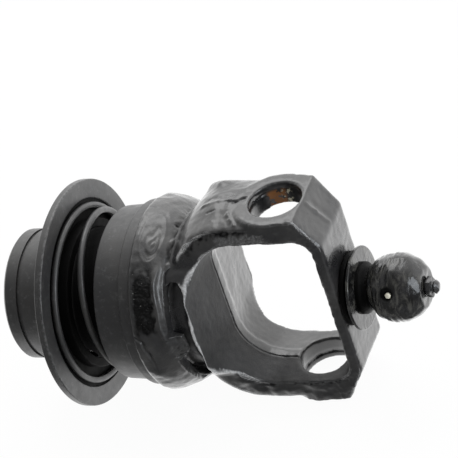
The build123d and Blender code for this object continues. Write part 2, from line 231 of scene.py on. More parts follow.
class Finish:
    """A material, built node by node."""

    def __init__(self, name, owner=None, shader="Principled BSDF"):
        self.material = owner or bpy.data.materials.new(name)
        self.material.use_nodes = True
        self.tree = self.material.node_tree
        self.shader = self.tree.nodes[shader]
        self.place = self.add("ShaderNodeTexCoord", {}, {}, "Object")

    def join(self, target, value):
        """Links a socket, or writes a plain value into it."""
        if isinstance(value, Socket):
            self.tree.links.new(value.output, target)
        else:
            target.default_value = value

    def add(self, kind, settings, values, output=0):
        """Adds a node: its settings are set first, then the values or links of its sockets."""
        node = self.tree.nodes.new(kind)
        for name, value in settings.items():
            setattr(node, name, value)
        for name, value in values.items():
            self.join(node.inputs[name], value)
        return Socket(self, node.outputs[output])

    def noise(self, size, detail=3.0, roughness=0.5, place=None, distortion=0.0):
        """Even noise whose features are about as large as size, in metres."""
        values = {"Vector": place or self.place, "Scale": 1 / size, "Detail": detail}
        values.update({"Roughness": roughness, "Distortion": distortion})
        return self.add("ShaderNodeTexNoise", {}, values)

    def stretched(self, factors):
        """The object's coordinates, scaled by a factor along each axis."""
        return self.add(
            "ShaderNodeVectorMath", {"operation": "MULTIPLY"}, {0: self.place, 1: factors}
        )

    def spots(self, size):
        """Distance to the nearest of many scattered points."""
        values = {"Vector": self.place, "Scale": 1 / size}
        return self.add("ShaderNodeTexVoronoi", {"feature": "F1"}, values, "Distance")

    def reach(self):
        """Distance from the hub's axis."""
        across = self.stretched((0, 1, 1))
        return self.add("ShaderNodeVectorMath", {"operation": "LENGTH"}, {0: across}, "Value")

    def along(self, axis="X"):
        """The object's coordinate along one axis."""
        return self.add("ShaderNodeSeparateXYZ", {}, {0: self.place}, axis)

    def painted(self, name):
        """A value that was written on the mesh's points."""
        return self.add("ShaderNodeAttribute", {"attribute_name": name}, {}, "Fac")

    def blend(self, mask, first, second):
        """The first colour where the mask is 0 and the second where it is 1."""
        first, second = (
            tone if isinstance(tone, Socket) else rgba(tone) for tone in (first, second)
        )
        values = {0: mask, 6: first, 7: second}
        return self.add("ShaderNodeMix", {"data_type": "RGBA"}, values, 2)

    def relief(self, *layers):
        """A normal from layers of (height, depth in metres), the last one on top."""
        normal = None
        for height, depth in layers:
            values = {"Strength": 1.0, "Distance": depth, "Height": height}
            if normal:
                values["Normal"] = normal
            normal = self.add("ShaderNodeBump", {}, values)
        return normal

    def surface(self, **values):
        """Sets the shader's sockets by their names, with _ for a space."""
        for name, value in values.items():
            socket = name.replace("_", " ").title().replace("Ior", "IOR")
            self.join(self.shader.inputs[socket], value)
        return self.material


def rgba(tone):
    """A colour with full alpha."""
    return (*tone, 1.0)


def fork_paint(paint):
    """Gloss black over a forging: a painted highlight, partly real wear, on its edges, matte in the
    window, stained in the bore, and painted shade in its hollows.
    """
    finish = Finish("fork_gloss_paint")
    clouds = finish.noise(16 * MM, 4.0, 0.6)
    patches = finish.noise(5 * MM, 3.0, 0.65)
    peel = finish.noise(1.7 * MM, 3.0, 0.55)
    grit = finish.noise(0.8 * MM, 4.0, 0.7)
    edge = finish.painted("edge").between(0.25, 1.0)
    wear_and_highlight = finish.painted("wear_and_highlight")
    painted_shade = finish.painted("painted_shade")
    window = finish.painted("window")
    rust = finish.painted("rust") * finish.noise(2.5 * MM, 3.0).between(0.40, 0.46)
    chalk = finish.painted("chalk") * finish.noise(1.3 * MM, 3.0).between(0.52, 0.58)
    tone = finish.blend(clouds.between(0.35, 0.7), paint.gloss, paint.thin_paint_and_highlight)
    tone = finish.blend(patches.between(0.62, 0.75) * 0.5, tone, paint.satin)
    # Edges lightened: a painted highlight, partly real where the paint runs off them.
    tone = finish.blend(edge * patches.between(0.3, 0.6) * 0.45, tone, paint.thin_paint_and_highlight)
    # Painted shade: the hollows are darkened to soot black.
    tone = finish.blend(painted_shade * 0.95, tone, paint.soot)
    # Painted highlight on the rim and edges, with real wear on the torn flank: pale grey.
    tone = finish.blend(wear_and_highlight * (0.60 + 0.40 * grit.between(0.42, 0.58)), tone, paint.wear_and_highlight)
    tone = finish.blend(rust * 0.9, tone, paint.rust)
    tone = finish.blend(chalk * 0.9, tone, paint.chalk)
    return finish.surface(
        base_color=tone,
        # Painted shade: the hollows are also rougher, metallic and uncoated, so they reflect
        # little.
        roughness=(
            0.26 + 0.12 * clouds.between(0.3, 0.7) + 0.26 * window + 0.25 * painted_shade + 0.3 * rust
        ),
        specular_ior_level=0.5,
        metallic=painted_shade * 0.8,
        coat_weight=0.5 * (1 - window) * (1 - painted_shade) * (1 - rust),
        coat_roughness=0.14,
        normal=finish.relief(
            (patches, 0.06 * MM),
            (peel, 0.05 * MM),
            (grit, 0.035 * MM),
            (grit * window, 0.06 * MM),
        ),
    )


def weld_paint(paint):
    """Paint over a rough bead: matte and pitted where it is sooty, glossy where it ran smooth, with
    painted shade in its creases and a faint painted highlight on its edges.
    """
    finish = Finish("weld_paint")
    clouds = finish.noise(11 * MM, 4.0, 0.6)
    patches = finish.noise(3.5 * MM, 4.0, 0.65)
    grit = finish.noise(0.7 * MM, 4.0, 0.7)
    pits = finish.spots(1.7 * MM).between(0.30, 0.12)
    soot = finish.painted("soot")
    edge = finish.painted("edge").between(0.2, 0.9)
    groove = finish.painted("groove").between(0.15, 0.8)
    tone = finish.blend(clouds.between(0.35, 0.68), paint.gloss, paint.thin_paint_and_highlight)
    tone = finish.blend(soot * 0.92, tone, paint.soot)
    # Painted shade: concave creases are darkened to soot black.
    tone = finish.blend(groove * 0.8, tone, paint.soot)
    # Edges lightened: a faint painted highlight, partly real where the paint runs off them.
    tone = finish.blend(edge * patches.between(0.35, 0.6) * 0.5, tone, paint.thin_paint_and_highlight)
    flecks = soot * finish.spots(2.3 * MM).between(0.10, 0.05)
    tone = finish.blend(flecks * 0.7, tone, paint.steel)
    return finish.surface(
        base_color=tone,
        roughness=0.30 + 0.16 * patches + 0.16 * soot,
        metallic=soot * 0.7 * (1 - flecks),
        specular_ior_level=0.6,
        coat_weight=0.45 - 0.45 * soot,
        coat_roughness=0.12,
        normal=finish.relief((patches, 0.32 * MM), (pits * soot, 0.25 * MM), (grit, 0.06 * MM)),
    )


def satin_paint(name, paint, roughness, recess=None, rim=None):
    """Satin black over turned steel, with faint stains and a fine tool mark.

    The functions recess and rim give the masks of painted shade in a hollow and of wear on a rim.
    """
    finish = Finish(name)
    clouds = finish.noise(22 * MM, 4.0, 0.6)
    patches = finish.noise(4 * MM, 4.0, 0.6)
    peel = finish.noise(0.8 * MM, 3.0, 0.5)
    turning = finish.noise(0.9 * MM, 2.0, 0.5, finish.stretched((1.0, 0.06, 0.06)))
    scuffs = finish.noise(2.6 * MM, 5.0, 0.75)
    pinholes = finish.spots(12 * MM)
    tone = finish.blend(clouds.between(0.3, 0.75), paint.satin, paint.thin_paint_and_highlight)
    tone = finish.blend(patches.between(0.6, 0.8) * 0.35, tone, paint.gloss)
    wear = roughness + 0.12 * patches.between(0.3, 0.8)
    tone = finish.blend(scuffs.between(0.52, 0.70) * 0.07, tone, paint.wear_and_highlight)
    tone = finish.blend(pinholes.between(0.052, 0.036), tone, paint.soot)
    if rim:
        tone = finish.blend(rim(finish), tone, paint.wear_and_highlight)
    # Painted shade: where a recess mask is given, the colour goes to soot black, rougher and
    # metallic, so that it reflects little.
    shade = recess(finish) if recess else 0.0
    if recess:
        tone = finish.blend(shade, tone, paint.soot)
        wear = wear + 0.3 * shade
    return finish.surface(
        base_color=tone,
        roughness=wear,
        metallic=shade * 0.85,
        specular_ior_level=0.7,
        normal=finish.relief((patches, 0.06 * MM), (turning, 0.035 * MM), (peel, 0.03 * MM)),
    )


def ball_paint(paint):
    """Thick, wet-looking black with runs and smears, pale grease in the outlet, and painted shade
    around the outlet and on the stud behind the washer.
    """
    finish = Finish("ball_gloss_paint")
    clouds = finish.noise(8 * MM, 4.0, 0.6)
    sags = finish.noise(2.2 * MM, 2.0, 0.5, finish.stretched((1.0, 0.4, 0.3)), 1.2)
    grit = finish.noise(0.7 * MM, 3.0, 0.6)
    grease = finish.painted("grease")
    painted_shade = finish.painted("painted_shade")
    film = finish.noise(3.4 * MM, 4.0, 0.62, finish.stretched((1.0, 0.55, 0.4)), 1.3)
    tone = finish.blend(clouds.between(0.4, 0.7), paint.soot, paint.satin)
    tone = finish.blend(film.between(0.46, 0.66) * 0.65, tone, paint.film)
    # Painted shade: around the outlet and on the stud behind the washer, the colour goes to soot
    # black.
    tone = finish.blend(painted_shade, tone, paint.soot)
    tone = finish.blend(grease, tone, paint.grease)
    return finish.surface(
        base_color=tone,
        # Painted shade there is also rougher, metallic and uncoated, so it reflects little.
        roughness=0.13 + 0.10 * clouds.between(0.35, 0.7) + 0.45 * painted_shade + 0.3 * grease,
        specular_ior_level=0.5,
        metallic=painted_shade * 0.85,
        coat_weight=0.12 * (1 - painted_shade) * (1 - grease),
        coat_roughness=0.03,
        normal=finish.relief((sags, 0.28 * MM), (grit, 0.015 * MM)),
    )


def hard_steel(paint):
    """Bright steel of the locking balls."""
    finish = Finish("hard_steel")
    marks = finish.noise(1.5 * MM, 4.0, 0.6)
    return finish.surface(
        base_color=finish.blend(marks.between(0.4, 0.7), paint.steel, paint.bright),
        metallic=1.0,
        roughness=0.18 + 0.15 * marks,
    )


# Meshes


def smoothstep(low, high, value):
    """0 below low, 1 above high and smooth in between, also where high is below low."""
    t = min(max((value - low) / (high - low), 0.0), 1.0)
    return t * t * (3 - 2 * t)


def cad_shape(node):
    """A copy of a CAD node's shape, with its loose triangles joined."""
    shape = bmesh.new()
    shape.from_mesh(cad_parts[node].data)
    bmesh.ops.remove_doubles(shape, verts=shape.verts, dist=0.001 * MM)
    return shape


def new_object(name, data):
    """Puts an object for a mesh or a curve into the scene."""
    added = bpy.data.objects.new(name, data)
    bpy.context.collection.objects.link(added)
    return added


def soften(shape, factor):
    """Moves each point by the factor towards the middle of its neighbours."""
    bmesh.ops.smooth_vert(
        shape, verts=shape.verts, factor=factor, use_axis_x=True, use_axis_y=True, use_axis_z=True
    )


def even_skin(shape, step, passes):
    """The same shape in even small faces, with its corners rounded by smoothing."""
    mesh = bpy.data.meshes.new("skin")
    shape.to_mesh(mesh)
    shape.free()
    holder = new_object("skin", mesh)
    remesh = holder.modifiers.new("skin", "REMESH")
    remesh.mode = "VOXEL"
    remesh.voxel_size = step
    even = bmesh.new()
    even.from_object(holder, bpy.context.evaluated_depsgraph_get())
    bpy.data.objects.remove(holder)
    bpy.data.meshes.remove(mesh)
    for _ in range(passes):
        soften(even, 0.5)
    return even


def refine(shape, wanted):
    """Splits the edges whose middle the function wants in smaller faces."""
    edges = [edge for edge in shape.edges if wanted((edge.verts[0].co + edge.verts[1].co) / 2)]
    bmesh.ops.subdivide_edges(shape, edges=edges, cuts=1, use_grid_fill=True)


def lathe(profile, steps):
    """A profile of (place along X, radius) turned about the X axis."""
    shape = bmesh.new()
    points = [shape.verts.new((x, 0, r)) for x, r in profile]
    edges = [shape.edges.new(pair) for pair in zip(points, points[1:])]
    bmesh.ops.spin(
        shape, geom=points + edges, cent=(0, 0, 0), axis=(1, 0, 0), dvec=(0, 0, 0), angle=2 * pi,
        steps=steps, use_merge=True, use_duplicate=False,
    )
    bmesh.ops.remove_doubles(shape, verts=shape.verts, dist=0.001 * MM)
    bmesh.ops.recalc_face_normals(shape, faces=shape.faces)
    return shape


def lift(shape, height):
    """Moves each point along its normal by the height that the function gives for it."""
    shape.normal_update()
    moves = [(vert, vert.normal * height(vert.co, vert.normal)) for vert in shape.verts]
    for vert, move in moves:
        vert.co += move


def write_on_points(shape, name, value):
    """Writes a function's value for each point on the mesh, for its material to read."""
    shape.normal_update()
    layer = shape.verts.layers.float.new(name)
    for vert in shape.verts:
        vert[layer] = value(vert)


def convexity(reach):
    """How sharply the surface turns outwards at a point: 1 on an edge rounded to the reach."""

    def measure(vert):
        around = [edge.other_vert(vert).co for edge in vert.link_edges]
        middle = sum(around, Vector()) / len(around)
        spread = sum((co - vert.co).length_squared for co in around) / len(around)
        return min(max((vert.co - middle).dot(vert.normal) / spread * 2 * reach, 0.0), 1.0)

    return measure


def finish_piece(name, shape, material, body, replaced, sharp=radians(35)):
    """Makes a shape a shaded piece that rides on a body and stands for CAD nodes.

    Edges that turn by more than the angle sharp stay crisp.
    """
    for face in shape.faces:
        face.smooth = True
    for edge in shape.edges:
        edge.smooth = edge.calc_face_angle(0.0) < sharp
    mesh = bpy.data.meshes.new(name)
    shape.to_mesh(mesh)
    shape.free()
    piece = new_object(name, mesh)
    mesh.materials.append(material)
    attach(piece, body)
    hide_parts(*replaced)
    return piece


def ring(length_steps, wall_steps, steps):
    """A closed ring of square section: 1 wide from X = 0 to -1, and its outside at radius 2."""
    walls = [(0, 1 + k / wall_steps) for k in range(wall_steps)]
    outside = [(-k / length_steps, 2) for k in range(length_steps + 1)]
    return lathe([*walls, *outside, (-1, 1), (0, 1)], steps)


def around_axis(point):
    """Angle of a point about the X axis, from the top towards the camera's side, in degrees."""
    return atan2(-point.y, point.z) * 180 / pi


def bump(offset, width):
    """A rounded hill: 1 at no offset, falling away over the width."""
    return exp(-((offset / width) ** 2))


# Operators


class YOKE_OT_fork(bpy.types.Operator):
    """Adds the forged fork with its bridge, uneven as it left the dies"""

    bl_idname = "yoke.fork"
    bl_label = "Forged Fork"

    # Ridges, dents and raised corners: start, end, width and height, in millimetres
    marks = (
        ((-32.0, 15.2, 41.2), (-27.5, 13.2, 44.2), 3.6, 1.9),
        ((-28.0, -9.5, 45.2), (-22.0, -9.5, 45.6), 4.6, -0.55),
        ((-31.4, -1.9, 44.7), (-19.3, 0.2, 46.0), 0.8, 0.45),
        ((-30.0, 1.4, 44.9), (-20.0, 2.6, 46.0), 1.5, -0.30),
        ((-18.9, -1.8, 45.9), (-17.6, -8.9, 45.5), 1.0, 0.40),
        ((-17.6, -8.9, 45.5), (-13.2, -14.3, 44.2), 1.0, 0.50),
        ((-17.0, -1.1, 46.0), (-13.6, 1.6, 46.0), 0.75, -1.1),
        ((-19.2, -0.9, 46.0), (-18.0, -0.4, 46.0), 0.7, -0.8),
        ((-27.6, -6.6, 45.3), (-24.6, -5.7, 45.7), 0.5, -0.35),
        ((13.4, -1.2, 44.1), (16.2, -0.7, 39.5), 0.9, 0.40),
        ((16.2, -0.7, 39.5), (19.7, 0.6, 33.6), 0.9, 0.35),
        ((14.6, 1.6, 42.0), (18.4, 2.6, 35.8), 1.3, -0.25),
    )
    # Hollows along the near edges, with black shade painted in them: start, end, width and height,
    # in millimetres
    hollows = (
        ((-36.0, -20.6, 33.5), (-31.6, -18.6, 39.2), 1.7, -1.0),
        ((-31.6, -18.6, 39.2), (-26.0, -17.7, 41.0), 2.1, -1.2),
        ((-26.0, -17.7, 41.0), (-17.0, -17.2, 41.7), 1.6, -1.1),
        ((-17.0, -17.2, 41.7), (-9.0, -17.0, 42.0), 1.1, -0.8),
        ((-24.0, -17.4, -36.2), (0.0, -16.9, -36.2), 0.6, -0.45),
        ((0.0, -16.9, -36.2), (13.5, -15.6, -35.8), 0.7, -0.5),
    )

    def execute(self, context):
        # A point is in metres and a place is the same point in millimetres
        sizes = context.scene.yoke_fork

        def stroke(place, mark):
            """How far a place lies within a mark, from 1 on its line to 0."""
            start, end, width, _ = mark
            if abs(place.z - start[2]) > 12 or abs(place.x - start[0]) > 26:
                return 0.0
            start, line = Vector(start), Vector(end) - Vector(start)
            part = min(max((place - start).dot(line) / line.length_squared, 0.0), 1.0)
            return bump((place - start - line * part).length, width)

        def inside(place, normal):
            """1 on the walls of the window."""
            middle_x, back_x, half_height = -9, -38, 37
            to_middle = Vector((middle_x - place.x, 0, -place.z)).normalized()
            deep = smoothstep(back_x - 2, back_x, place.x)
            deep *= smoothstep(half_height + 2, half_height, abs(place.z))
            return deep * smoothstep(0.45, 0.75, to_middle.dot(normal))

        def side(place, normal):
            """1 on the flanks of the arms and of the bridge that face the camera's side."""
            return smoothstep(0.55, 0.85, -normal.y) * smoothstep(-35, -32, place.x)

        def sheared(place, normal):
            """1 where the trimming tool tore the flank of the upper arm."""
            ragged = noise.noise(place / 1.6)
            span = smoothstep(-24, -21, place.x + ragged) * smoothstep(0, -3, place.x + 2 * ragged)
            level = smoothstep(41.2, 40.2, place.z + 1.5 * ragged) * smoothstep(35.6, 37.2, place.z)
            return span * side(place, normal) * level

        def height(point, normal):
            """Height of the uneven skin above the even one."""
            place = point / MM
            wave = noise.noise(place / 9) * sizes.wave_depth / MM
            total = wave + noise.noise(place / 2.1) * sizes.grit_depth / MM
            flank = side(place, normal)
            if flank:
                lumps = noise.noise(place / 4.2) * 0.55 + noise.noise(place / 1.8) * 0.10
                rough = smoothstep(-4, 2, place.x + 40 * (place.z < 0))
                total += flank * lumps * (0.45 + 0.55 * rough)
                torn = sheared(place, normal)
                if torn:
                    total += torn * (noise.turbulence(place / 1.7, 2, True) - 0.3) * 1.3
            if place.x > 9 and place.y < -10:
                total += noise.noise(place / 1.9) * 0.30 * smoothstep(-11, -13, place.y)
            inner = inside(place, normal)
            if inner:
                step = smoothstep(-2.8, -2.3, place.y + 0.25 * noise.noise(place / 2.5))
                total -= inner * (0.25 * step + 0.35 * bump(place.y + 2.6, 0.4))
            for mark in self.marks + self.hollows:
                share = stroke(place, mark)
                if share > 0.02:
                    ragged = 0.6 * noise.noise(place / 1.3) if mark[2] < 2 else 0.0
                    total += share * mark[3] * (1 + ragged)
            wall = smoothstep(0.3, 1.6, hypot(place.x, place.y) - sizes.bore_radius / MM)
            return total * wall * MM

        shape = even_skin(cad_shape("yoke"), sizes.mesh_step, sizes.smoothing)

        def detailed(point):
            """Whether the surface there carries small detail."""
            place = point / MM
            on_top = place.z > 40 and -34 < place.x < -11 and abs(place.y) < 19
            flank = place.y < -14 and place.x > -37 and abs(place.z) > 30
            line = -3.6 < place.y < -1.4 and place.x < 16 and abs(place.z) < 38
            return on_top or flank or line

        refine(shape, detailed)
        write_on_points(shape, "edge", convexity(1.4 * MM))
        edge = shape.verts.layers.float["edge"]
        lift(shape, height)

        def wear_and_highlight(vert):
            """1 where a pale highlight is painted on the rim and edges, and where the torn flank
            shows wear.
            """
            place = vert.co / MM
            rim = smoothstep(-22, -27, place.x) * smoothstep(-41, -40, place.x)
            rim *= smoothstep(-8, -13, place.y)
            slope = 0.45 * smoothstep(9, 12, place.x) * smoothstep(-9, -12, place.y)
            line = smoothstep(0.35, 0.75, vert[edge]) * max(slope, 0.12)
            line = max(line, smoothstep(0.12, 0.45, vert[edge]) * rim)
            return max(line, 0.16 * sheared(place, vert.normal))

        def painted_shade(vert):
            """1 in the hollows, where black shade is painted."""
            place = vert.co / MM
            ragged = 0.5 * noise.noise(place / 1.4)
            deepest = max(stroke(place, mark) for mark in self.hollows)
            return smoothstep(0.25, 0.75, deepest + ragged)

        def near_wall(vert):
            """1 on the rough part of the window's wall, on the camera's side of the land."""
            place = vert.co / MM
            return inside(place, vert.normal) * smoothstep(-2.3, -2.9, place.y)

        def bore_patch(low, high):
            """A stained part of the upper bore's wall, between two angles about the bore."""

            def share(vert):
                place = vert.co / MM
                angle = atan2(place.y, place.x) * 180 / pi
                wall = smoothstep(1.2, 0.4, hypot(place.x, place.y) - sizes.bore_radius / MM)
                band = smoothstep(34, 36, place.z) * smoothstep(43, 41.5, place.z)
                start = smoothstep(low - 5, low + 3, angle)
                return wall * band * start * smoothstep(high + 5, high - 3, angle)

            return share

        write_on_points(shape, "wear_and_highlight", wear_and_highlight)
        write_on_points(shape, "painted_shade", painted_shade)
        write_on_points(shape, "window", near_wall)
        write_on_points(shape, "rust", bore_patch(92, 128))
        write_on_points(shape, "chalk", bore_patch(78, 98))
        material = fork_paint(context.scene.yoke_paint)
        finish_piece("forged_fork", shape, material, "hub", ["yoke"], pi)
        return {"FINISHED"}


class YOKE_OT_weld(bpy.types.Operator):
    """Adds the heavy weld bead between hub and fork, with its swirl, soot, lip and rough foot"""

    bl_idname = "yoke.weld"
    bl_label = "Weld Bead"

    def execute(self, context):
        # Angles are in degrees from the top towards the camera's side, as around_axis gives them
        sizes = context.scene.yoke_weld
        hub_foot_x = weld_low.x
        crest_x = weld_low.x + 2.3 * MM

        def over_arm(angle):
            """1 where the bead's foot climbs the root of an arm."""
            return smoothstep(40, 31, abs(angle)) + smoothstep(140, 149, abs(angle))

        def flake(angle):
            """1 where a flap of the bead hangs over the neck."""
            return smoothstep(82, 84.5, angle) * smoothstep(103, 100, angle)

        def foot_x(angle):
            """Place along X of the bead's ragged foot on the fork."""
            ragged = noise.noise(Vector((0, sin(radians(angle)), cos(radians(angle)))) * 9)
            fine = noise.noise(Vector((5, sin(radians(angle)), cos(radians(angle)))) * 31)
            x = -46.3 + 3.7 * over_arm(angle) + 4.1 * flake(angle)
            return (x + (0.25 + 0.5 * over_arm(angle)) * (ragged + 0.6 * fine)) * MM

        def foot_radius(angle):
            """Radius of that foot, which sinks into the neck's pockets."""
            return sizes.pocket_foot + (sizes.neck_foot - sizes.pocket_foot) * over_arm(angle)

        def swirl(x, angle):
            """Place in the rings where the bead was closed: 0 in their eye, 1 on their rim."""
            along, across = (angle - 16) * 0.7, x + 52.4
            size = hypot(across / 4.5, along / 12.2)
            shift = max(1 - size, 0.0)
            return hypot((across - 1.7 * shift) / 4.5, (along - 7.0 * shift) / 12.2)

        def soot(x, angle):
            """1 in the dark zone with pits."""
            ragged = noise.noise(Vector((x / 2.2, angle / 4.5, 3)))
            span = smoothstep(36, 48, angle + 7 * ragged) * smoothstep(81, 74, angle - 5 * ragged)
            span *= smoothstep(-59.2, -57.0, x + 1.2 * ragged)
            return span * smoothstep(-48.8, -51.2, x + 1.6 * ragged)

        def outline(x):
            """Radius of the plain bead: a steep flank to the crest and a long fall to the neck."""
            if x < crest_x:
                part = min((crest_x - x) / (crest_x - hub_foot_x), 1.0)
                rise = sizes.crest_radius - sizes.hub_foot
                return sizes.hub_foot + rise * sqrt(1 - part * part)
            part = (x - crest_x) / (weld_high.x - crest_x)
            return sizes.crest_radius - (sizes.crest_radius - sizes.neck_foot) * part * part

        def height(point, x, angle):
            """Height of the bead above its plain outline. Here x is in millimetres."""
            wave = noise.noise(point / (8 * MM)) * 0.7 + noise.noise(point / (3.1 * MM)) * 0.3
            total = wave * sizes.wave_depth / MM * 1.6

            # The rings and their rim
            place = swirl(x, angle)
            rings = cos(2 * pi * 2.4 * place) * smoothstep(1.0, 0.7, place)
            rings += 1.7 * bump(place - 1.0, 0.10) * smoothstep(48, 34, angle)
            total += sizes.swirl_depth / MM * (rings - 0.9 * smoothstep(1.0, 0.8, place))

            # The pits of the sooty zone, and the ripples at its upper end
            dark = soot(x, angle)
            if dark:
                pits = noise.turbulence(point / (1.9 * MM), 3, True) - 0.45
                total += dark * (pits * sizes.pit_depth / MM * 1.8 - 0.45)
                ripples = sin(angle * 3.1 + 2 * pits) * smoothstep(57, 52, angle)
                total += dark * 0.08 * ripples * bump(x + 55.5, 1.4)

            # The lip, steeper towards the fork
            lip_x = -48.0 + 1.1 * smoothstep(70, 84, angle) - 0.9 * bump(angle - 49, 9)
            lip = smoothstep(31, 44, angle) * smoothstep(96, 84, angle)
            total += lip * sizes.lip_height / MM * bump(x - lip_x, 0.7 if x > lip_x else 1.5)

            # The fold where a later run covers an earlier one
            fold_x = -60.2 + 3.2 * smoothstep(77.5, 82, angle) + 1.6 * smoothstep(82, 96, angle)
            fold = 0.75 * smoothstep(fold_x + 0.5, fold_x - 0.1, x)
            fold -= 0.25 * bump(x - fold_x - 0.9, 0.5)
            total += fold * smoothstep(76, 78.5, angle) * smoothstep(112, 92, angle)

            # The lumps along the foot
            rough = smoothstep(-46.6, -45.2, x) * over_arm(angle)
            rough = max(rough, smoothstep(-47.0, -46.2, x) * flake(angle))
            rough = max(rough, smoothstep(-47.4, -46.6, x) * bump(angle - 77, 5))
            if rough:
                lumps = noise.turbulence(point / (3.6 * MM), 2, False) - 0.1
                total += rough * lumps * sizes.lump_depth / MM * 1.5

            # Three pinholes, and two short cracks across the foot
            total -= 1.3 * bump(hypot(x + 44.2, (angle + 13) * 0.62), 0.75)
            total -= 0.5 * bump(hypot((x + 56.6) / 1.6, (angle + 8) * 0.7 / 0.6), 1.0)
            total -= 0.6 * bump(hypot((x + 55.3) / 0.7, (angle - 90.5) * 0.7 / 1.8), 1.0)
            crack = smoothstep(-46.2, -45.2, x) * smoothstep(-43.9, -44.6, x)
            total -= 0.8 * bump(angle - 3.2, 0.55) * crack
            crack = smoothstep(-47.0, -46.0, x) * smoothstep(-42.0, -43.4, x)
            total -= 0.8 * bump(angle - 99.2, 0.8) * crack
            return total * MM * smoothstep(-60.45, -59.0, x)

        # The plain ring is bent onto the bead: its X runs from the foot to the hub
        shape = ring(sizes.steps_across, 6, sizes.steps_around)
        for vert in shape.verts:
            side, level = vert.co.x, hypot(vert.co.y, vert.co.z)
            angle = around_axis(vert.co)
            out = Vector((0, vert.co.y, vert.co.z)) / level
            foot = foot_x(angle)
            x = foot + (foot - hub_foot_x) * side
            surface = out * outline(x) + Vector((x, 0, 0))
            radius = outline(x) + height(surface, x / MM, angle)
            low = foot_radius(angle) if side > -0.5 else sizes.neck_foot - 0.4 * MM
            wall = level - 1
            slant = 0.5 * MM * (1 - wall) if side > -0.001 else 0.0
            vert.co = Vector((x + slant, 0, 0)) + out * (low + (radius - low) * wall)
        soften(shape, 0.3)

        def sooty(vert):
            """The sooty zone at a point of the mesh."""
            return soot(vert.co.x / MM, around_axis(vert.co))

        # Convex edges, which get a faint painted highlight.
        write_on_points(shape, "edge", convexity(1.0 * MM))
        # Concave creases, where shade is painted.
        write_on_points(shape, "groove", convexity(-1.0 * MM))
        write_on_points(shape, "soot", sooty)
        material = weld_paint(context.scene.yoke_paint)
        finish_piece("weld_lumps", shape, material, "hub", ["weld_bead"], pi)
        return {"FINISHED"}


class YOKE_OT_hub(bpy.types.Operator):
    """Adds the turned hub with its spline bore"""

    bl_idname = "yoke.hub"
    bl_label = "Splined Hub"

    def execute(self, context):
        paint = context.scene.yoke_paint
        shape = cad_shape("splined_hub")

        def under_spring(finish):
            """1 between the collar and the shoulder, in the spring's shade."""
            x = finish.along()
            seat = hub_low.x + SHOULDER
            mouth = x.between(collar_high.x - 1 * MM, collar_high.x + 1 * MM)
            return mouth * x.between(seat - 0.2 * MM, seat - 0.6 * MM)

        # The recess mask paints the spring's shade on the hub.
        material = satin_paint("hub_satin_paint", paint, roughness=0.42, recess=under_spring)
        finish_piece("turned_hub", shape, material, "hub", ["splined_hub"])
        return {"FINISHED"}


class YOKE_OT_collar(bpy.types.Operator):
    """Adds the flanged release collar"""

    bl_idname = "yoke.collar"
    bl_label = "Release Collar"

    def execute(self, context):
        paint = context.scene.yoke_paint
        shape = cad_shape("release_collar")
        recess_radius, sleeve_radius = 39.5 * MM, 32.0 * MM
        recess_x, sleeve_x = -95.5 * MM, -99.0 * MM

        def spring_seat(finish):
            """1 in the recess for the spring and on the sleeve inside it, where shade is painted.
            """
            in_flange = finish.reach().between(recess_radius + 0.2 * MM, recess_radius - 0.3 * MM)
            sleeve = finish.reach().between(sleeve_radius + 1.0 * MM, sleeve_radius)
            deep = in_flange * finish.along().between(recess_x, recess_x - 0.9 * MM)
            return deep + (1 - deep) * sleeve * finish.along().between(sleeve_x - 2 * MM, sleeve_x)

        def flange_rim(finish):
            """A faint, broken line of wear on the flange's rim."""
            rim, front = collar_high.z, collar_high.x - 4.5 * MM
            band = finish.reach().between(rim - 0.8 * MM, rim - 0.3 * MM)
            edge = finish.along().between(front, front + 0.5 * MM)
            return band * edge * finish.noise(1.2 * MM).between(0.40, 0.60) * 0.10

        material = satin_paint(
            "collar_satin_paint", paint, roughness=0.38, recess=spring_seat, rim=flange_rim
        )
        finish_piece("flanged_collar", shape, material, "collar", ["release_collar"])
        return {"FINISHED"}


class YOKE_OT_lock(bpy.types.Operator):
    """Adds the stop ring and the locking balls"""

    bl_idname = "yoke.lock"
    bl_label = "Ring and Locking Balls"

    def execute(self, context):
        paint = context.scene.yoke_paint
        shape = cad_shape("retaining_ring")
        material = satin_paint("ring_paint", paint, roughness=0.4)
        finish_piece("stop_ring", shape, material, "hub", ["retaining_ring"])
        material = hard_steel(paint)
        for number in (1, 2, 3):
            node, body = f"locking_ball_{number}", f"ball_{number}"
            finish_piece(f"steel_{body}", cad_shape(node), material, body, [node])
        return {"FINISHED"}


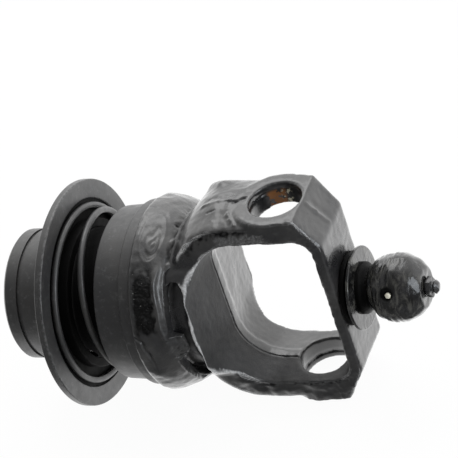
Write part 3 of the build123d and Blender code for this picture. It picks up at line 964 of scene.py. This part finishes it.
class YOKE_OT_spring(bpy.types.Operator):
    """Adds the conical spring that pushes the collar back"""

    bl_idname = "yoke.spring"
    bl_label = "Collar Spring"

    def execute(self, context):
        sizes = context.scene.yoke_spring
        # Angles along the coil, in degrees: its ends, and where it starts to narrow and to climb
        wide_start, taper_start, lift_start, lift_end, narrow_end = -345, -90, -30, 215, 400
        wide_x = spring_low.x + sizes.wire / 2
        narrow_x = spring_high.x - sizes.wire / 2
        coil = bpy.data.curves.new("coil", "CURVE")
        coil.dimensions = "3D"
        coil.bevel_depth = sizes.wire / 2
        coil.bevel_resolution = 6
        coil.use_fill_caps = True
        line = coil.splines.new("POLY")
        angles = range(wide_start, narrow_end + 1, 5)
        line.points.add(len(angles) - 1)
        for point, angle in zip(line.points, angles):
            lifted = min(max((angle - lift_start) / (lift_end - lift_start), 0), 1)
            tapered = min(max((angle - taper_start) / (lift_end - taper_start), 0), 1)
            radius = sizes.wide_radius + (sizes.narrow_radius - sizes.wide_radius) * tapered
            x = wide_x + (narrow_x - wide_x) * lifted
            point.co = (x, radius * cos(radians(angle)), radius * sin(radians(angle)), 1)
        holder = new_object("coil", coil)
        turned = bpy.data.meshes.new_from_object(holder)
        shape = bmesh.new()
        shape.from_mesh(turned)
        bpy.data.objects.remove(holder)
        bpy.data.meshes.remove(turned)
        material = satin_paint("spring_paint", context.scene.yoke_paint, roughness=0.36)
        spring = finish_piece(
            "conical_spring", shape, material, "hub", ["collar_spring"]
        )
        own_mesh(spring)
        return {"FINISHED"}


class YOKE_OT_stud(bpy.types.Operator):
    """Adds the ball stud, its washer and its grease nipple"""

    bl_idname = "yoke.stud"
    bl_label = "Ball Stud"

    def execute(self, context):
        paint = context.scene.yoke_paint
        material = ball_paint(paint)
        paint_reach, outlet_reach = 14.6, 2.2

        def height(point, normal):
            """Height of the paint that ran down the ball, but not over the stud or the outlet."""
            place = point / MM
            on_stud = (place - BALL_MIDDLE).length > paint_reach
            if on_stud or (place - OUTLET).length < outlet_reach:
                return 0.0
            bent = place + 1.5 * noise.noise_vector(place / 6)
            swirls = noise.noise(Vector((bent.x / 1.5, bent.y / 8, bent.z / 8)))
            left = smoothstep(47.5, 40, place.x)
            rings = sin(bent.x * 2 * pi / 2.1) * smoothstep(41, 37, place.x)
            rings *= smoothstep(9, 0, place.z)
            runs = noise.noise(place / 4)
            return (0.30 * runs + 0.50 * swirls * left + 0.10 * rings - 0.15) * MM

        # Without a seed, noise_vector starts from the clock and the runs differ each time
        noise.seed_set(RUNS_SEED)
        shape = even_skin(cad_shape("ball_stud"), 0.4 * MM, 3)
        lift(shape, height)
        sunk = 0.5 * (OUTLET - BALL_MIDDLE).normalized()
        dab = bmesh.ops.create_uvsphere(
            shape, u_segments=20, v_segments=14, radius=1.2 * MM,
            matrix=Matrix.Translation((OUTLET - sunk) * MM),
        )["verts"]
        first = len(shape.verts) - len(dab)
        shape.verts.index_update()

        def grease(vert):
            """1 on the dab of grease."""
            return 1.0 if vert.index >= first else 0.0

        def recessed(vert):
            """1 where shade is painted: on a ring around the outlet, and on the stud behind the
            washer.
            """
            place = vert.co / MM
            around = smoothstep(3.6, 2.4, (place - OUTLET + Vector((0.6, 0, -0.8))).length)
            return max(around * (1 - grease(vert)), smoothstep(31.5, 29.5, place.x))

        write_on_points(shape, "grease", grease)
        write_on_points(shape, "painted_shade", recessed)
        finish_piece("stud_with_ball", shape, material, "hub", ["ball_stud"], pi)
        shape = cad_shape("dust_washer")
        finish_piece("guard_washer", shape, material, "hub", ["dust_washer"])

        def lumps(point, normal):
            """Height of the paint on the nipple."""
            return (0.32 * noise.noise(point / (2.6 * MM)) - 0.2) * MM

        shape = even_skin(cad_shape("grease_nipple"), 0.16 * MM, 14)
        lift(shape, lumps)
        material = satin_paint("nipple_paint", paint, roughness=0.25)
        finish_piece(
            "grease_nipple_painted", shape, material, "hub", ["grease_nipple"], pi
        )
        return {"FINISHED"}


class YOKE_OT_stage(bpy.types.Operator):
    """Adds the camera, the pale floor and the soft light"""

    bl_idname = "yoke.stage"
    bl_label = "Stage"

    def execute(self, context):
        scene = context.scene
        sizes = scene.yoke_stage

        # The camera looks along -out, and right and top are the sides of its picture
        level = Vector((cos(sizes.azimuth), sin(sizes.azimuth), 0))
        towards = Vector((sin(sizes.azimuth), -cos(sizes.azimuth), 0))
        out = towards * cos(sizes.elevation) + Vector((0, 0, sin(sizes.elevation)))
        upright = out.cross(level)
        right = cos(sizes.roll) * level + sin(sizes.roll) * upright
        top = -sin(sizes.roll) * level + cos(sizes.roll) * upright
        camera_data = bpy.data.cameras.new("camera")
        camera_data.lens = sizes.lens
        camera_data.sensor_width = 36.0
        camera = bpy.data.objects.new("camera", camera_data)
        scene.collection.objects.link(camera)
        place = sizes.distance * out + sizes.slide_right * right + sizes.slide_up * top
        turn = Matrix((right, top, out)).transposed()
        camera.matrix_world = Matrix.Translation(place) @ turn.to_4x4()
        scene.camera = camera

        # The floor is white to the camera, and dark in front of the object to reflections
        floor_shape = bmesh.new()
        bmesh.ops.create_grid(floor_shape, x_segments=1, y_segments=1, size=sizes.floor_size / 2)
        bmesh.ops.translate(floor_shape, verts=floor_shape.verts, vec=(0, 0, collar_low.z))
        floor_mesh = bpy.data.meshes.new("floor")
        floor_shape.to_mesh(floor_mesh)
        floor_shape.free()
        floor = bpy.data.objects.new("floor", floor_mesh)
        scene.collection.objects.link(floor)
        finish = Finish("pale_floor")
        finish.surface(base_color=rgba(sizes.floor_colour), roughness=0.9)
        seen = finish.add("ShaderNodeLightPath", {}, {}, "Is Camera Ray")
        mirrored = finish.add("ShaderNodeLightPath", {}, {}, "Is Glossy Ray")
        depth = finish.along("Y") - finish.along("X") * sizes.dark_slant
        blur = 12 * MM
        pale = depth.between(sizes.dark_floor - blur, sizes.dark_floor + blur)
        contrast = sizes.back_light - sizes.front_light
        shine = sizes.front_light + contrast * pale
        white = finish.add(
            "ShaderNodeEmission", {}, {"Color": (1, 1, 1, 1), "Strength": seen + mirrored * shine}
        )
        # The rest of the floor's share to the camera is its lit surface, which keeps the shadow
        share = seen * 0.96 + mirrored
        mixed = finish.add("ShaderNodeMixShader", {}, {0: share, 2: white}).output
        finish.tree.links.new(finish.shader.outputs[0], mixed.node.inputs[1])
        finish.tree.links.new(mixed, finish.tree.nodes["Material Output"].inputs["Surface"])
        floor_mesh.materials.append(finish.material)

        # The walls are white to the camera, and pale behind the object and dark in front of it
        scene.world = bpy.data.worlds.new("soft_walls")
        walls = Finish("soft_walls", scene.world, "Background")
        direction = walls.add("ShaderNodeTexCoord", {}, {}, "Generated")
        values = {0: direction, 1: Vector(sizes.dark_wall).normalized()}
        facing = walls.add("ShaderNodeVectorMath", {"operation": "DOT_PRODUCT"}, values, "Value")
        pale = facing.between(0.75, -0.75)
        seen = walls.add("ShaderNodeLightPath", {}, {}, "Is Camera Ray")
        shine = sizes.front_light + contrast * pale
        walls.surface(color=(1, 1, 1, 1), strength=shine * (1 - seen) + seen)

        # Each lamp: name, power, colour, place, width and height in metres. All face the origin
        lamps = (
            ("key_lamp", sizes.key_power, (1, 1, 1), (-0.15, 0.45, 0.75), 0.6, 0.6),
            ("strip_lamp", sizes.strip_power, sizes.strip_colour, (0.88, -0.2, 0.13), 0.36, 0.9),
        )
        for name, power, tint, spot, width, height in lamps:
            data = bpy.data.lights.new(name, "AREA")
            data.energy = power
            data.color = tint
            data.shape = "RECTANGLE"
            data.size = width
            data.size_y = height
            lamp = bpy.data.objects.new(name, data)
            scene.collection.objects.link(lamp)
            turn = Vector(spot).to_track_quat("Z", "Y").to_matrix()
            lamp.matrix_world = Matrix.Translation(spot) @ turn.to_4x4()

        scene.view_settings.view_transform = "Standard"
        return {"FINISHED"}


class YOKE_PT_panel(bpy.types.Panel):
    """Lists the pieces of the yoke and their settings"""

    bl_label = "Forged Yoke"
    bl_idname = "YOKE_PT_panel"
    bl_space_type = "VIEW_3D"
    bl_region_type = "UI"
    bl_category = "Yoke"

    def draw(self, context):
        for operator in OPERATORS:
            self.layout.operator(operator.bl_idname)
        for name, group in SETTINGS.items():
            box = self.layout.box()
            box.label(text=group.__doc__)
            for prop in group.__annotations__:
                box.prop(getattr(context.scene, name), prop)


OPERATORS = (
    YOKE_OT_stage,
    YOKE_OT_fork,
    YOKE_OT_weld,
    YOKE_OT_hub,
    YOKE_OT_collar,
    YOKE_OT_lock,
    YOKE_OT_spring,
    YOKE_OT_stud,
)


def register():
    """Registers the settings, the operators and the panel."""
    for name, group in SETTINGS.items():
        bpy.utils.register_class(group)
        setattr(bpy.types.Scene, name, PointerProperty(type=group))
    for operator in OPERATORS:
        bpy.utils.register_class(operator)
    bpy.utils.register_class(YOKE_PT_panel)


def unregister():
    """Takes the panel, the operators and the settings away again."""
    bpy.utils.unregister_class(YOKE_PT_panel)
    for operator in reversed(OPERATORS):
        bpy.utils.unregister_class(operator)
    for name, group in reversed(SETTINGS.items()):
        delattr(bpy.types.Scene, name)
        bpy.utils.unregister_class(group)


def main():
    """Makes every piece in order."""
    register()
    bpy.ops.yoke.stage()
    bpy.ops.yoke.fork()
    bpy.ops.yoke.weld()
    bpy.ops.yoke.hub()
    bpy.ops.yoke.collar()
    bpy.ops.yoke.lock()
    bpy.ops.yoke.spring()
    bpy.ops.yoke.stud()


if __name__ == "__main__":
    main()
